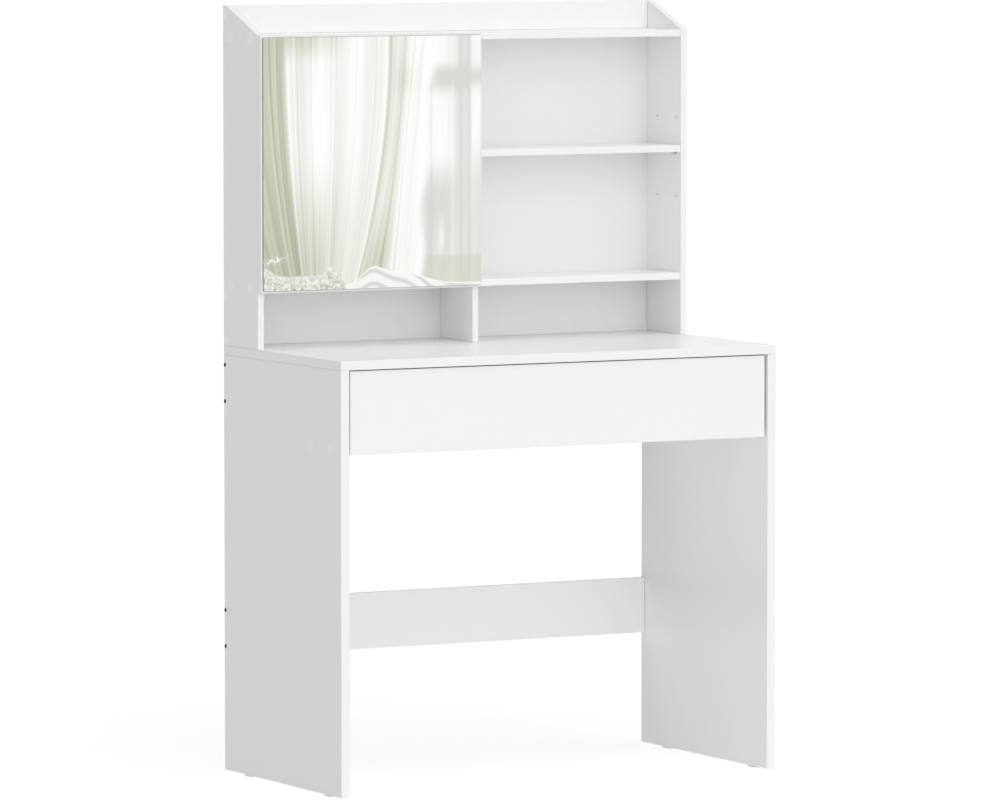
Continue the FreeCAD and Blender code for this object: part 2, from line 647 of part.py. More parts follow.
def mirror_glass():
    """Sheet with a thin bare rim of the board round it and small round corners."""
    x_range = (DOOR_LEFT + GLASS_RIM, DOOR_RIGHT - GLASS_RIM)
    back_y = DOOR_FRONT_Y - TAPE
    glass = block(x_range, (back_y - GLASS, back_y), (DOOR_BOTTOM + GLASS_RIM, DOOR_TOP - GLASS_RIM))
    corners = [edge for edge in glass.Edges if edge.BoundBox.YLength > GLASS / 2]
    return glass.makeFillet(GLASS_CORNER, corners)


def mirror_tapes():
    """Three upright strips of tape between the glass and the door."""
    width = DOOR_RIGHT - DOOR_LEFT
    middles = [DOOR_LEFT + width * share for share in TAPE_SHARES]
    y_range = (DOOR_FRONT_Y - TAPE, DOOR_FRONT_Y)
    z_range = (DOOR_BOTTOM + TAPE_END_GAP, DOOR_TOP - TAPE_END_GAP)
    return [block((x - TAPE_HALF_WIDTH, x + TAPE_HALF_WIDTH), y_range, z_range) for x in middles]


def door_bumpers():
    """Two soft dots on the back of the door that meet the divider."""
    heights = (DOOR_BOTTOM + BUMPER_IN, DOOR_TOP - BUMPER_IN)
    return [rod(Vector(0, DOOR_BACK_Y, z), BACK, BUMPER_THICKNESS, BUMPER_RADIUS) for z in heights]


def plate_screw_places():
    """Screws that hold the hinge plates to the left hutch side."""
    right = BOARD - DOOR_AXIS_IN + PLATE_THICKNESS
    steps = (-PLATE_SCREW_SPREAD, PLATE_SCREW_SPREAD)
    return [from_axis(right, PLATE_MIDDLE, z + step) for z in HINGE_ZS for step in steps]


def arm_screw_place(z):
    return from_axis(ARM_DEPTH + ARM_SCREW[0][1], PLATE_MIDDLE, z)


def hinge_plate(z):
    """Mounting plate on the inner face of the hutch side."""
    wall = BOARD - DOOR_AXIS_IN
    low = from_axis(wall, PLATE_MIDDLE - PLATE_HALF_LENGTH, z - PLATE_HALF_HEIGHT)
    high = from_axis(wall + PLATE_THICKNESS, PLATE_MIDDLE + PLATE_HALF_LENGTH, z + PLATE_HALF_HEIGHT)
    return drilled(block((low.x, high.x), (low.y, high.y), (low.z, high.z)),
                   plate_screw_places(), -RIGHT, PLATE_SCREW)


def hinge_arm(z):
    """Channel with two cheeks that reach into the cup and carry the link's pin."""
    pivot_x, pivot_y = LINK_PIVOT
    rear_x = BOARD - DOOR_AXIS_IN + PLATE_THICKNESS + FIT_GAP
    nose = ((pivot_x - ARM_BOSS_RADIUS, pivot_y), (rear_x, NOSE_END), (rear_x, ARM_REACH),
            (ARM_DEPTH, ARM_REACH), (ARM_DEPTH, NOSE_END), (pivot_x + ARM_BOSS_RADIUS, pivot_y))
    body = prism([from_axis(x, y, z - ARM_HALF_WIDTH) for x, y in nose], UP * (2 * ARM_HALF_WIDTH))
    boss = rod(from_axis(pivot_x, pivot_y, z - ARM_HALF_WIDTH), UP, 2 * ARM_HALF_WIDTH, ARM_BOSS_RADIUS)
    inside = ARM_HALF_WIDTH - ARM_CHEEK
    low = from_axis(0, -BOARD, z - inside)
    high = from_axis(ARM_DEPTH - ARM_CHEEK, ARM_REACH + BOARD, z + inside)
    channel = block((low.x, high.x), (low.y, high.y), (low.z, high.z))
    bore = hinge_pin(z, PIN_RUNNING_GAP)
    screw_hole = fastener(arm_screw_place(z), -RIGHT, ARM_SCREW, FIT_GAP)
    return body.fuse(boss).cut([channel, bore, screw_hole])


def hinge_pin(z, gap=0.0):
    """Pin that the link turns on."""
    return rod(from_axis(*LINK_PIVOT, z - ARM_HALF_WIDTH), UP, 2 * ARM_HALF_WIDTH, HINGE_PIN_RADIUS + gap)


def hinge_link(z):
    """Flat link with an eye round the pin. Its free end lies in the cup when the door is shut."""
    angle = math.radians(LINK_TILT)
    along = Vector(math.cos(angle), math.sin(angle), 0)
    across = Vector(-along.y, along.x, 0) * LINK_HALF_THICKNESS
    start = from_axis(*LINK_PIVOT, z - LINK_HALF_WIDTH)
    end = start + along * LINK_LENGTH
    height = 2 * LINK_HALF_WIDTH
    plate = prism((start - across, end - across, end + across, start + across), UP * height)
    eye = rod(start, UP, height, LINK_EYE_RADIUS)
    tip = rod(end, UP, height, LINK_HALF_THICKNESS)
    return plate.fuse([eye, tip]).cut(hinge_pin(z, PIN_RUNNING_GAP))


# ---------------------------------------------------------------- the files
def save_desk():
    for name, sign in SIDES:
        save(name + "_side_panel", desk_side(sign))
        save("cabinet_slide_" + name, cabinet_slide(sign))
    save("desktop", desktop())
    upper_z = (UPPER_RAIL_BOTTOM, DESKTOP_UNDER - SEAM)
    stretcher_z = (STRETCHER_BOTTOM, STRETCHER_BOTTOM + RAIL_HEIGHT)
    save("upper_back_rail", rail((RAIL_FRONT_Y, BACK_Y), upper_z, back_rail_places, BLACK_SCREW))
    save("lower_back_stretcher", rail((RAIL_FRONT_Y, BACK_Y), stretcher_z, back_rail_places, BLACK_SCREW))
    front_y = (FRONT_RAIL_Y, FRONT_RAIL_Y + FRONT_RAIL_DEPTH)
    front_z = (FRONT_RAIL_BOTTOM, FRONT_RAIL_BOTTOM + BOARD)
    save("front_rail", rail(front_y, front_z, front_rail_places, CONFIRMAT_LONG))
    save("floor_glides", *[glide(sign, y) for _, sign in SIDES for y in GLIDE_YS])
    save("back_rail_screws", *screws(back_rail_places, BLACK_SCREW, slotted=True))
    save("front_rail_screws", *screws(front_rail_places, CONFIRMAT_LONG))
    corners = [(sign, y) for _, sign in SIDES for y in CAM_YS]
    save("desktop_cam_bolts", *[desktop_bolt(*corner) for corner in corners])
    save("desktop_cams", *[desktop_cam(*c).cut(desktop_bolt(*c, FIT_GAP)) for c in corners])
    slide_screws = []
    for _, sign in SIDES:
        slide_screws += [fastener(place, outward(sign), SLIDE_SCREW) for place in desk_slide_places(sign)]
    save("cabinet_slide_screws", *slide_screws)


def top_shelf_places(sign):
    return shelf_screw_places(sign, TOP_SHELF_TOP)


def lower_shelf_places(sign):
    return shelf_screw_places(sign, LOWER_SHELF_TOP)


def all_screws(place_lists, sizes):
    """The screws of both sides for several lists of places."""
    return [screw for places in place_lists for screw in screws(places, sizes)]


def all_caps(place_lists, radius, shift=0.0):
    """The stickers of both sides for several lists of places."""
    return [cap for places in place_lists for cap in caps(places, radius, shift)]


def save_hutch():
    for name, sign in SIDES:
        save("hutch_" + name + "_side", hutch_side(sign))
    save("top_shelf", top_shelf())
    save("lower_shelf", lower_shelf())
    save("middle_shelf", loose_shelf(DIVIDER_HALF, HUTCH_INNER_X, HUTCH_FRONT_Y))
    save("cabinet_shelf", loose_shelf(-HUTCH_INNER_X, -DIVIDER_HALF, HUTCH_FRONT_Y + CABINET_SHELF_SETBACK))
    save("lower_divider", lower_divider())
    save("upper_divider", upper_divider())
    save("top_back_rail", back_board((TOP_SHELF_TOP + SEAM, HEIGHT), top_rail_places))
    save("bottom_back_board", back_board((HUTCH_BOTTOM, LOWER_SHELF_UNDER - SEAM), back_board_places))
    save("hutch_back_panel", hutch_back_panel())
    save("shelf_pins", *shelf_pins())
    shelf_places = (top_shelf_places, lower_shelf_places)
    back_places = (top_rail_places, back_board_places)
    save("hutch_shelf_screws", *all_screws(shelf_places, CONFIRMAT_SHORT))
    save("hutch_back_screws", *all_screws(back_places, CONFIRMAT_SHORT))
    save("large_screw_caps", *all_caps((front_rail_places, *shelf_places), LARGE_CAP_RADIUS))
    save("small_screw_caps", *all_caps(back_places, SMALL_CAP_RADIUS, SMALL_CAP_FROM_BACK - BOARD / 2))
    short_dowels = [dowel(y, DESK_HEIGHT) for y in DOWEL_YS]
    save("divider_dowels", *short_dowels, *[long_dowel(y) for y in DOWEL_YS])
    save("divider_screws", *[fastener(place, -UP, DOWNWARD_SCREW) for place in downward_places()])
    save("hutch_mounting_screws", *[fastener(place, UP, UPWARD_SCREW) for place in all_upward_places()])


def save_drawer():
    for name, sign in SIDES:
        save("drawer_" + name + "_side", drawer_side(sign))
        save("drawer_slide_" + name, drawer_slide(sign))
        save("middle_slide_" + name, middle_slide(sign))
    save("drawer_front", drawer_front())
    save("drawer_back", drawer_back())
    save("drawer_bottom", drawer_bottom())
    corners = [(sign, z) for _, sign in SIDES for z in drawer_cam_heights()]
    save("drawer_cam_bolts", *[drawer_bolt(*corner) for corner in corners])
    save("drawer_cams", *[drawer_cam(*c).cut(drawer_bolt(*c, FIT_GAP)) for c in corners])
    save("drawer_slide_screws", *screws(drawer_slide_places, SLIDE_SCREW))
    save("drawer_back_screws", *screws(drawer_back_places, DRAWER_BACK_SCREW))


def save_door():
    save("door_board", door_board())
    save("mirror_glass", mirror_glass())
    save("mirror_tapes", *mirror_tapes())
    save("door_bumpers", *door_bumpers())
    save("hinge_cups", *[hinge_cup(z) for z in HINGE_ZS])
    save("hinge_plates", *[hinge_plate(z) for z in HINGE_ZS])
    save("hinge_arms", *[hinge_arm(z) for z in HINGE_ZS])
    save("hinge_pins", *[hinge_pin(z) for z in HINGE_ZS])
    save("hinge_links", *[hinge_link(z) for z in HINGE_ZS])
    plate_screws = [fastener(place, -RIGHT, PLATE_SCREW) for place in plate_screw_places()]
    arm_screws = [fastener(arm_screw_place(z), -RIGHT, ARM_SCREW) for z in HINGE_ZS]
    save("hinge_screws", *plate_screws, *arm_screws)


os.makedirs("parts", exist_ok=True)
save_desk()
save_hutch()
save_drawer()
save_door()
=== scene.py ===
import json
import math

import bmesh
import bpy
import numpy as np
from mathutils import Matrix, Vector

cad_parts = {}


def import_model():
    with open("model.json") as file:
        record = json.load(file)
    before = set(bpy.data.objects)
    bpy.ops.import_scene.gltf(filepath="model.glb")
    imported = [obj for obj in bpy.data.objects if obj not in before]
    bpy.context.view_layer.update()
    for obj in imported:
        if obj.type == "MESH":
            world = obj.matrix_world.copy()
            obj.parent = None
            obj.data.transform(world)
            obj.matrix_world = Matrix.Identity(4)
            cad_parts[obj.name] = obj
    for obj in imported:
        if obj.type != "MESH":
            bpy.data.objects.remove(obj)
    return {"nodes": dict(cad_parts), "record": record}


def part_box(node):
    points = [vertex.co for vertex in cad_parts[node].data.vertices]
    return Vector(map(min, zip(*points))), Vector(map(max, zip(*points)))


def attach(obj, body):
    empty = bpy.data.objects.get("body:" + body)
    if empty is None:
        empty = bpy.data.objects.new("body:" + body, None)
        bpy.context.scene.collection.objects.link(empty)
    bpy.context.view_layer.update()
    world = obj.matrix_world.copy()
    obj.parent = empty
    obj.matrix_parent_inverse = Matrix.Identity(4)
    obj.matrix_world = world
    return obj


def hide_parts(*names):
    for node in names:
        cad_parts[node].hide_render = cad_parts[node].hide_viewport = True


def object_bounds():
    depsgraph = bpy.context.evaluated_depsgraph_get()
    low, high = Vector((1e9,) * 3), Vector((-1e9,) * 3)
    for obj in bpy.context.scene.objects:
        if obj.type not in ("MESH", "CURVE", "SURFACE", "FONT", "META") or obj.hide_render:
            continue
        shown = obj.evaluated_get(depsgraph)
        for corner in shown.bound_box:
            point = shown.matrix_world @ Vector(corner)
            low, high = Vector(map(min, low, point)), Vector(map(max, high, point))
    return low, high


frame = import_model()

CAD_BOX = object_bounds()
NODES = frame["nodes"]
MM = 0.001


# ---------------------------------------------------------------- node-tree helpers
class Graph:
    """Short calls for building one material's node tree."""

    def __init__(self, name):
        self.material = bpy.data.materials.new(name)
        self.material.use_nodes = True
        self.tree = self.material.node_tree
        self.shader = self.tree.nodes["Principled BSDF"]
        self.coords = self.add("ShaderNodeTexCoord").outputs["Object"]

    def add(self, kind, **values):
        node = self.tree.nodes.new(kind)
        for name, value in values.items():
            setattr(node, name, value)
        return node

    def put(self, target, value):
        """Links a socket, or sets a plain value."""
        if isinstance(value, bpy.types.NodeSocket):
            self.tree.links.new(value, target)
        else:
            target.default_value = value

    def mapped(self, scale):
        node = self.add("ShaderNodeMapping")
        self.put(node.inputs["Vector"], self.coords)
        node.inputs["Scale"].default_value = scale
        return node.outputs["Vector"]

    def noise(self, scale, detail=3.0, stretch=(1, 1, 1), roughness=0.55):
        node = self.add("ShaderNodeTexNoise")
        self.put(node.inputs["Vector"], self.mapped(stretch))
        node.inputs["Scale"].default_value = scale
        node.inputs["Detail"].default_value = detail
        node.inputs["Roughness"].default_value = roughness
        return node.outputs["Fac"]

    def math(self, operation, first, second):
        node = self.add("ShaderNodeMath", operation=operation)
        self.put(node.inputs[0], first)
        self.put(node.inputs[1], second)
        return node.outputs[0]

    def span(self, value, low, high, from_low=0.0, from_high=1.0):
        """Maps a value from one range to another."""
        node = self.add("ShaderNodeMapRange")
        self.put(node.inputs["Value"], value)
        node.inputs["From Min"].default_value = from_low
        node.inputs["From Max"].default_value = from_high
        node.inputs["To Min"].default_value = low
        node.inputs["To Max"].default_value = high
        return node.outputs["Result"]

    def blend(self, share, first, second):
        """Mixes two colours."""
        node = self.add("ShaderNodeMix", data_type="RGBA")
        self.put(node.inputs["Factor"], share)
        self.put(node.inputs["A"], first)
        self.put(node.inputs["B"], second)
        return node.outputs["Result"]

    def bump(self, height, strength, distance, below=None):
        node = self.add("ShaderNodeBump")
        self.put(node.inputs["Height"], height)
        node.inputs["Strength"].default_value = strength
        node.inputs["Distance"].default_value = distance
        if below is not None:
            self.put(node.inputs["Normal"], below)
        return node.outputs["Normal"]

    def rounded(self, radius):
        """Normals of edges rounded to a radius."""
        node = self.add("ShaderNodeBevel", samples=4)
        node.inputs["Radius"].default_value = radius
        return node.outputs["Normal"]

    def edge_share(self, rounded):
        """Near 1 on edges and 0 on flat faces."""
        flat = self.add("ShaderNodeNewGeometry").outputs["Normal"]
        dot = self.add("ShaderNodeVectorMath", operation="DOT_PRODUCT")
        self.put(dot.inputs[0], rounded)
        self.put(dot.inputs[1], flat)
        return self.span(dot.outputs["Value"], 1.0, 0.0, 0.90, 0.995)

    def finish(self, color, roughness, normal=None, **constants):
        self.put(self.shader.inputs["Base Color"], color)
        self.put(self.shader.inputs["Roughness"], roughness)
        if normal is not None:
            self.put(self.shader.inputs["Normal"], normal)
        for name, value in constants.items():
            self.shader.inputs[name.replace("_", " ")].default_value = value
        return self.material


def grey(value, tint=0.0):
    """A near-neutral linear colour; a positive tint is warmer."""
    return (value * (1 + tint), value, value * (1 - tint), 1.0)


# ---------------------------------------------------------------- materials
EASED_EDGE = 0.8 * MM


def white_board():
    """White melamine on particle board: faint orange peel, fine print grain and a painted highlight on the
    eased edges.
    """
    g = Graph("white_melamine")
    cloud = g.noise(2.2, 2.0)
    grain = g.noise(900.0, 2.0, stretch=(1, 1, 0.25))
    tone = g.math("ADD", g.math("MULTIPLY", cloud, 0.6), g.math("MULTIPLY", grain, 0.4))
    color = g.blend(tone, grey(0.935), grey(0.96))
    rounded = g.rounded(EASED_EDGE)
    edges = g.edge_share(rounded)
    # Painted highlight: the eased edges are blended towards near white.
    color = g.blend(g.math("MULTIPLY", edges, 0.8), color, grey(0.985))
    roughness = g.math("ADD", g.span(g.noise(60.0, 4.0), 0.25, 0.34), g.math("MULTIPLY", edges, 0.12))
    peel = g.bump(g.noise(420.0, 2.0), 0.10, 0.00012, below=rounded)
    normal = g.bump(g.noise(38.0, 2.0), 0.05, 0.0004, below=peel)
    return g.finish(color, roughness, normal, Specular_IOR_Level=0.42)


def white_hardboard():
    """Thin painted hardboard: a little duller, with a fibre texture."""
    g = Graph("painted_hardboard")
    fibre = g.noise(700.0, 4.0, stretch=(1, 1, 0.5))
    color = g.blend(fibre, grey(0.925), grey(0.95))
    normal = g.bump(fibre, 0.12, 0.00015)
    return g.finish(color, g.span(g.noise(90.0, 3.0), 0.38, 0.5), normal, Specular_IOR_Level=0.4)


def metal(name, color, low, high, stretch, strength):
    """Plated steel with fine rolling lines along one axis."""
    g = Graph(name)
    lines = g.noise(1400.0, 3.0, stretch=stretch)
    patches = g.noise(35.0, 3.0)
    tone = g.math("ADD", g.math("MULTIPLY", lines, 0.5), g.math("MULTIPLY", patches, 0.5))
    dark = tuple(c * 0.82 for c in color)
    base = g.blend(tone, (*dark, 1.0), (*color, 1.0))
    normal = g.bump(lines, strength, 0.00008)
    return g.finish(base, g.span(tone, low, high), normal, Metallic=1.0)


def plastic(name, low, high, roughness, subsurface=0.0, sheen=0.0):
    """Moulded or sheet plastic with fine pores."""
    g = Graph(name)
    pores = g.noise(1100.0, 3.0)
    color = g.blend(g.noise(70.0, 2.0), low, high)
    normal = g.bump(pores, 0.10, 0.0001)
    return g.finish(color, g.span(pores, roughness - 0.05, roughness + 0.05), normal,
                    Subsurface_Weight=subsurface, Sheen_Weight=sheen)


def beech():
    """Plain beech with rings along the dowel."""
    g = Graph("beech_dowel")
    rings = g.noise(160.0, 5.0, stretch=(1, 1, 0.06))
    color = g.blend(rings, (0.48, 0.30, 0.15, 1), (0.70, 0.50, 0.30, 1))
    return g.finish(color, g.span(rings, 0.5, 0.7), g.bump(rings, 0.3, 0.0003))


def silvering():
    """The silvered face of the glass: near-perfect reflection with the faint green of float glass."""
    g = Graph("mirror_silver")
    haze = g.noise(6.0, 3.0)
    smear = g.noise(45.0, 4.0, stretch=(1, 1, 0.3))
    color = g.blend(haze, (0.925, 0.935, 0.925, 1), (0.94, 0.945, 0.935, 1))
    return g.finish(color, g.span(smear, 0.004, 0.016), None, Metallic=1.0)


def glass_edge():
    """The polished edge of the sheet, dark grey-green where it is seen end on."""
    g = Graph("mirror_glass_edge")
    color = g.blend(g.noise(220.0, 3.0), (0.20, 0.23, 0.215, 1), (0.36, 0.395, 0.38, 1))
    return g.finish(color, g.span(g.noise(500.0, 2.0), 0.08, 0.22), None, Coat_Weight=0.5)


EVEN = (1, 1, 1)
ALONG_Y = (1, 0.03, 1)
ALONG_Z = (1, 1, 0.05)
MATERIALS = {
    "white_board": white_board(),
    "white_hardboard": white_hardboard(),
    "mirror": silvering(),
    "foam_tape": plastic("foam_tape", grey(0.74, 0.01), grey(0.82, 0.01), 0.8, 0.1),
    "black_screw": metal("black_oxide", (0.035, 0.035, 0.038), 0.32, 0.5, EVEN, 0.2),
    "zinc_steel": metal("zinc_plate", (0.74, 0.74, 0.72), 0.22, 0.38, EVEN, 0.2),
    "slide_steel": metal("slide_steel", (0.70, 0.71, 0.72), 0.20, 0.36, ALONG_Y, 0.25),
    "nickel_steel": metal("nickel_plate", (0.80, 0.78, 0.75), 0.12, 0.26, ALONG_Z, 0.1),
    "cam_metal": metal("cast_zinc", (0.60, 0.60, 0.59), 0.38, 0.55, EVEN, 0.5),
    "cap_sticker": plastic("cap_sticker", grey(0.975), grey(0.995), 0.42, sheen=0.9),
    "glide_plastic": plastic("nylon_glide", grey(0.80, 0.01), grey(0.86, 0.01), 0.45, 0.15),
    "dowel_wood": beech(),
    "bumper_rubber": plastic("clear_bumper", grey(0.72), grey(0.80), 0.3, 0.3),
}
for row in frame["record"]["subparts"]:
    mesh = NODES[row["node"]].data
    mesh.materials.clear()
    mesh.materials.append(MATERIALS[row["material_slot"]])


# ---------------------------------------------------------------- mesh helpers for new pieces
def new_piece(name, mesh_data, materials, body):
    """Object with its materials that rides on a body."""
    piece = bpy.data.objects.new(name, mesh_data)
    bpy.context.scene.collection.objects.link(piece)
    for material in materials:
        mesh_data.materials.append(material)
    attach(piece, body)
    return piece


def rounded_outline(low, high, radius, steps=6):
    """Points round a rectangle with round corners, as pairs."""
    corners = ((high[0] - radius, high[1] - radius, 0), (low[0] + radius, high[1] - radius, 90),
               (low[0] + radius, low[1] + radius, 180), (high[0] - radius, low[1] + radius, 270))
    points = []
    for x, z, start in corners:
        for step in range(steps + 1):
            angle = math.radians(start + 90 * step / steps)
            points.append((x + radius * math.cos(angle), z + radius * math.sin(angle)))
    return points


GLASS_CORNER_RADIUS = 3 * MM
GLASS_ARRIS = 0.7 * MM
SILVERED = 0
POLISHED = 1


def mirror_sheet():
    """Silvered face inside a narrow ground and polished edge."""
    low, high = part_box("mirror_glass")
    sheet = bmesh.new()
    rings = []
    for inset, y in ((0, high.y), (0, low.y + GLASS_ARRIS), (GLASS_ARRIS, low.y)):
        outline = rounded_outline((low.x + inset, low.z + inset), (high.x - inset, high.z - inset),
                                  GLASS_CORNER_RADIUS - inset)
        rings.append([sheet.verts.new((x, y, z)) for x, z in outline])
    count = len(rings[0])
    for first, second in zip(rings, rings[1:]):
        for i in range(count):
            j = (i + 1) % count
            sheet.faces.new((first[i], first[j], second[j], second[i])).material_index = POLISHED
    sheet.faces.new(rings[-1]).material_index = SILVERED
    sheet.faces.new(list(reversed(rings[0]))).material_index = POLISHED
    bmesh.ops.recalc_face_normals(sheet, faces=sheet.faces)
    data = bpy.data.meshes.new("mirror_sheet")
    sheet.to_mesh(data)
    sheet.free()
    piece = new_piece("mirror_sheet", data, (MATERIALS["mirror"], glass_edge()), "door")
    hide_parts("mirror_glass")


mirror_sheet()


# ---------------------------------------------------------------- the room that the mirror shows
CAMERA_PLACE = Vector((-6.182, -11.427, 1.655))
CURTAIN_DISTANCE = 2.4
CURTAIN_COLUMNS = 440
CURTAIN_ROWS = 500
CURTAIN_MARGIN = 0.05     # share of the mirror that the screen reaches past each edge
CURTAIN_GLOW = 1.07
# Cloth colours: DAYLIGHT is painted daylight, FOLD_GREY, PALE_SAGE and SAGE ever deeper painted shade on
# white cloth, SHEER_GREY the sheer in shade.
SAGE = (0.43, 0.45, 0.33)
PALE_SAGE = (0.64, 0.65, 0.54)
FOLD_GREY = (0.82, 0.825, 0.785)
DAYLIGHT = (0.99, 0.99, 0.975)
SHEER_GREY = (0.70, 0.70, 0.67)
CLOTH_SHADES = (DAYLIGHT, FOLD_GREY, PALE_SAGE, SAGE)
CLOTH_DEPTHS = (0.0, 0.35, 0.70, 1.0)
BED_CLOTH = (0.93, 0.93, 0.925)
BED_FOLD_SHADE = (0.54, 0.54, 0.52)
LACE = (0.72, 0.73, 0.68)
LEAF = (0.30, 0.31, 0.21)
PETAL = (0.95, 0.95, 0.89)
BLOSSOM = (1.0, 1.0, 0.96)
# Places across the cloth: dark and window creases take painted shade, bright creases and hems painted
# highlights.
DARK_CREASES = (0.030, 0.062, 0.155, 0.220, 0.315, 0.335, 0.430, 0.520, 0.545)
BRIGHT_CREASES = (0.020, 0.052, 0.162, 0.228, 0.323, 0.438, 0.512)
BRIGHT_HEMS = (0.140, 0.571)
SWEPT_DARK_CREASES = (0.655, 0.698)
SWEPT_BRIGHT_CREASES = (0.622, 0.690, 0.708)
WINDOW_CREASES = (0.770, 0.905, 0.945)


def ramp(value, low, high):
    """Smooth step from 0 at low to 1 at high."""
    share = np.clip((value - low) / (high - low), 0.0, 1.0)
    return share * share * (3.0 - 2.0 * share)


def bell(value, middle, width):
    """1 at the middle, falling to 0 on both sides."""
    return np.exp(-((value - middle) / width) ** 2)


def pleats(along, down, count, seed):
    """Uneven upright folds between -0.5 and 0.5 that change from the top of the cloth to its foot."""
    chance = np.random.default_rng(seed)
    total = np.zeros_like(along)
    for octave in range(4):
        fineness = 2.1 ** octave
        heights = chance.random((2, int(2 * count * fineness)))
        place = (along + 0.5 + 0.006 * np.sin(5.0 * down + octave)) * count * fineness
        upper, lower = (np.interp(place, np.arange(len(row)), row) for row in heights)
        total += ((1.0 - down) * upper + down * lower - 0.5) / (octave + 1.6)
    return np.clip(total, -0.5, 0.5)


def lines(along, places, width):
    """Thin upright lines at the given places across the cloth."""
    return sum(bell(along, place, width) for place in places)


def paint(base, share, color):
    """Lays a colour over the picture."""
    return base + share[..., None] * (np.array(color) - base)


def laid(base, cover, depth):
    """Lays cloth over the picture, from daylight white at depth 0 to the deepest sage shade at 1."""
    bands = [np.interp(depth, CLOTH_DEPTHS, [shade[i] for shade in CLOTH_SHADES]) for i in range(3)]
    return base + cover[..., None] * (np.stack(bands, axis=-1) - base)


def gathered_curtain(picture, across, down):
    """White curtain on the left that narrows towards the floor, with sage shade on its left."""
    pull = down ** 2
    along = (across - 0.134 * pull) / (1.0 - 0.51 * pull)
    cover = 1.0 - ramp(along, 0.600, 0.606)
    folds = pleats(along, down, 21.0, 3)
    left = 1.0 - ramp(along, 0.075, 0.125)
    lower_left = (1.0 - ramp(along, 0.02, 0.70)) * ramp(down, 0.38, 0.95)
    upper_left = (1.0 - ramp(along, 0.18, 0.48)) * (1.0 - ramp(down, 0.0, 0.12))
    shaded = 1.0 - (1.0 - 0.92 * left) * (1.0 - 0.95 * lower_left) * (1.0 - 0.60 * upper_left)
    # depth is painted shade on the white cloth: folds, dark creases and the dark fold add to it, bright
    # creases and hems are painted highlights.
    depth = 0.08 + 0.76 * shaded + 0.22 * bell(along, 0.16, 0.04) * (1.0 - shaded)
    depth += 0.10 * bell(along, 0.355, 0.022) * ramp(down, 0.05, 0.35) * (1.0 + 1.8 * down)
    depth += 0.12 * bell(along, 0.50, 0.05)
    depth -= 0.16 * bell(along, 0.255, 0.045) * bell(down, 0.38, 0.28) + 0.06 * bell(along, 0.43, 0.04)
    depth += folds * (0.34 + 0.26 * shaded)
    depth += 0.20 * lines(along, DARK_CREASES, 0.003)
    depth -= 0.16 * lines(along, BRIGHT_CREASES, 0.003)
    depth += 0.66 * bell(along, 0.588, 0.011) + 0.40 * bell(along, 0.604, 0.004)
    bright_hem = 0.42 * bell(along, 0.112, 0.004) * ramp(down, 0.05, 0.12)
    depth -= bright_hem + 0.30 * lines(along, BRIGHT_HEMS, 0.003)
    return laid(picture, cover, depth)


def swept_curtain(picture, across, down):
    """Second white curtain, swept to the left as it falls."""
    left_edge = 0.600 - 0.173 * down ** 2
    fold_line = 0.700 - 0.107 * down
    inner = 0.600 + (across - left_edge) * 0.100 / (fold_line - left_edge)
    along = np.where(across < fold_line, inner, 0.700 + across - fold_line)
    outer_edge = 0.780 + 0.012 * np.sin(16.0 * down) + 0.045 * down
    cover = ramp(along, 0.598, 0.606) * (1.0 - ramp(along, outer_edge - 0.02, outer_edge + 0.02))
    # depth is painted shade on the white cloth, as in the gathered curtain.
    depth = 0.09 + 0.42 * pleats(along + 0.012 * bell(down, 0.1, 0.1), down, 24.0, 5)
    low_shade = 0.34 * ramp(down, 0.60, 0.95) * bell(along, 0.62, 0.06)
    depth += 0.20 * (1.0 - ramp(along, 0.640, 0.705)) + low_shade
    depth += 0.26 * lines(along, SWEPT_DARK_CREASES, 0.005) + 0.12 * bell(along, 0.74, 0.008)
    depth += 0.20 * bell(across, 0.66, 0.05) * bell(down, 0.17, 0.07)
    depth -= 0.20 * lines(along, SWEPT_BRIGHT_CREASES, 0.004) + 0.10 * bell(along, 0.75, 0.03)
    return laid(picture, cover, depth)


def window(across, down):
    """Pale wall with the soft bright panes of a window behind a sheer, painted as daylight, with the painted
    shadow of the window rail.
    """
    picture = np.ones(across.shape + (3,)) * np.array(SHEER_GREY)
    folds = pleats(across, down, 14.0, 2)
    slanted = pleats(across + 0.12 * down, down, 20.0, 8)
    # Painted shadow of the window rail across the sheer.
    rail_shadow = bell(down, 0.165, 0.040)
    lower_pane = ramp(down, 0.18, 0.26) * (1.0 - ramp(down, 0.46, 0.62))
    bright = 0.26 + 0.80 * bell(across, 0.80, 0.08) * (1.0 - ramp(down, 0.09, 0.16))
    bright += lower_pane * (0.62 * (1.0 - ramp(across, 0.82, 0.92)) + 0.12)
    bright += 0.5 * bell(across, 0.818, 0.014) * bell(down, 0.80, 0.07)
    bright += ramp(across, 0.945, 0.965) * (0.15 + 0.45 * (1.0 - ramp(down, 0.35, 0.60)) * (1.0 - rail_shadow))
    top_glint = 0.35 * bell(across, 0.885, 0.008) * (1.0 - ramp(down, 0.1, 0.17))
    bright += 0.20 * bell(across, 0.868, 0.006) + top_glint
    bright += 0.50 * folds + 0.50 * slanted * ramp(down, 0.2, 0.4)
    # Painted shade: the rail's shadow and the sheer's creases darken the daylight.
    bright -= 0.28 * rail_shadow * ramp(across, 0.76, 0.83) + 0.26 * lines(across, WINDOW_CREASES, 0.004)
    bright -= 0.20 * bell(down, 0.70, 0.13) * bell(across, 0.80, 0.06)
    picture = paint(picture, np.clip(bright, 0.0, 1.0), DAYLIGHT)
    sill = ramp(down, 0.865, 0.885) * ramp(across, 0.40, 0.5)
    return paint(picture, 0.55 * sill, PALE_SAGE)


def speckle(shape, seed):
    """Fine soft-edged spots between 0 and 1, as of lace or small flowers."""
    spots = np.random.default_rng(seed).random(shape)
    for axis in (0, 1, 0, 1):
        spots = (spots + np.roll(spots, 1, axis) + np.roll(spots, -1, axis)) / 3.0
    return ramp(spots, 0.44, 0.62)


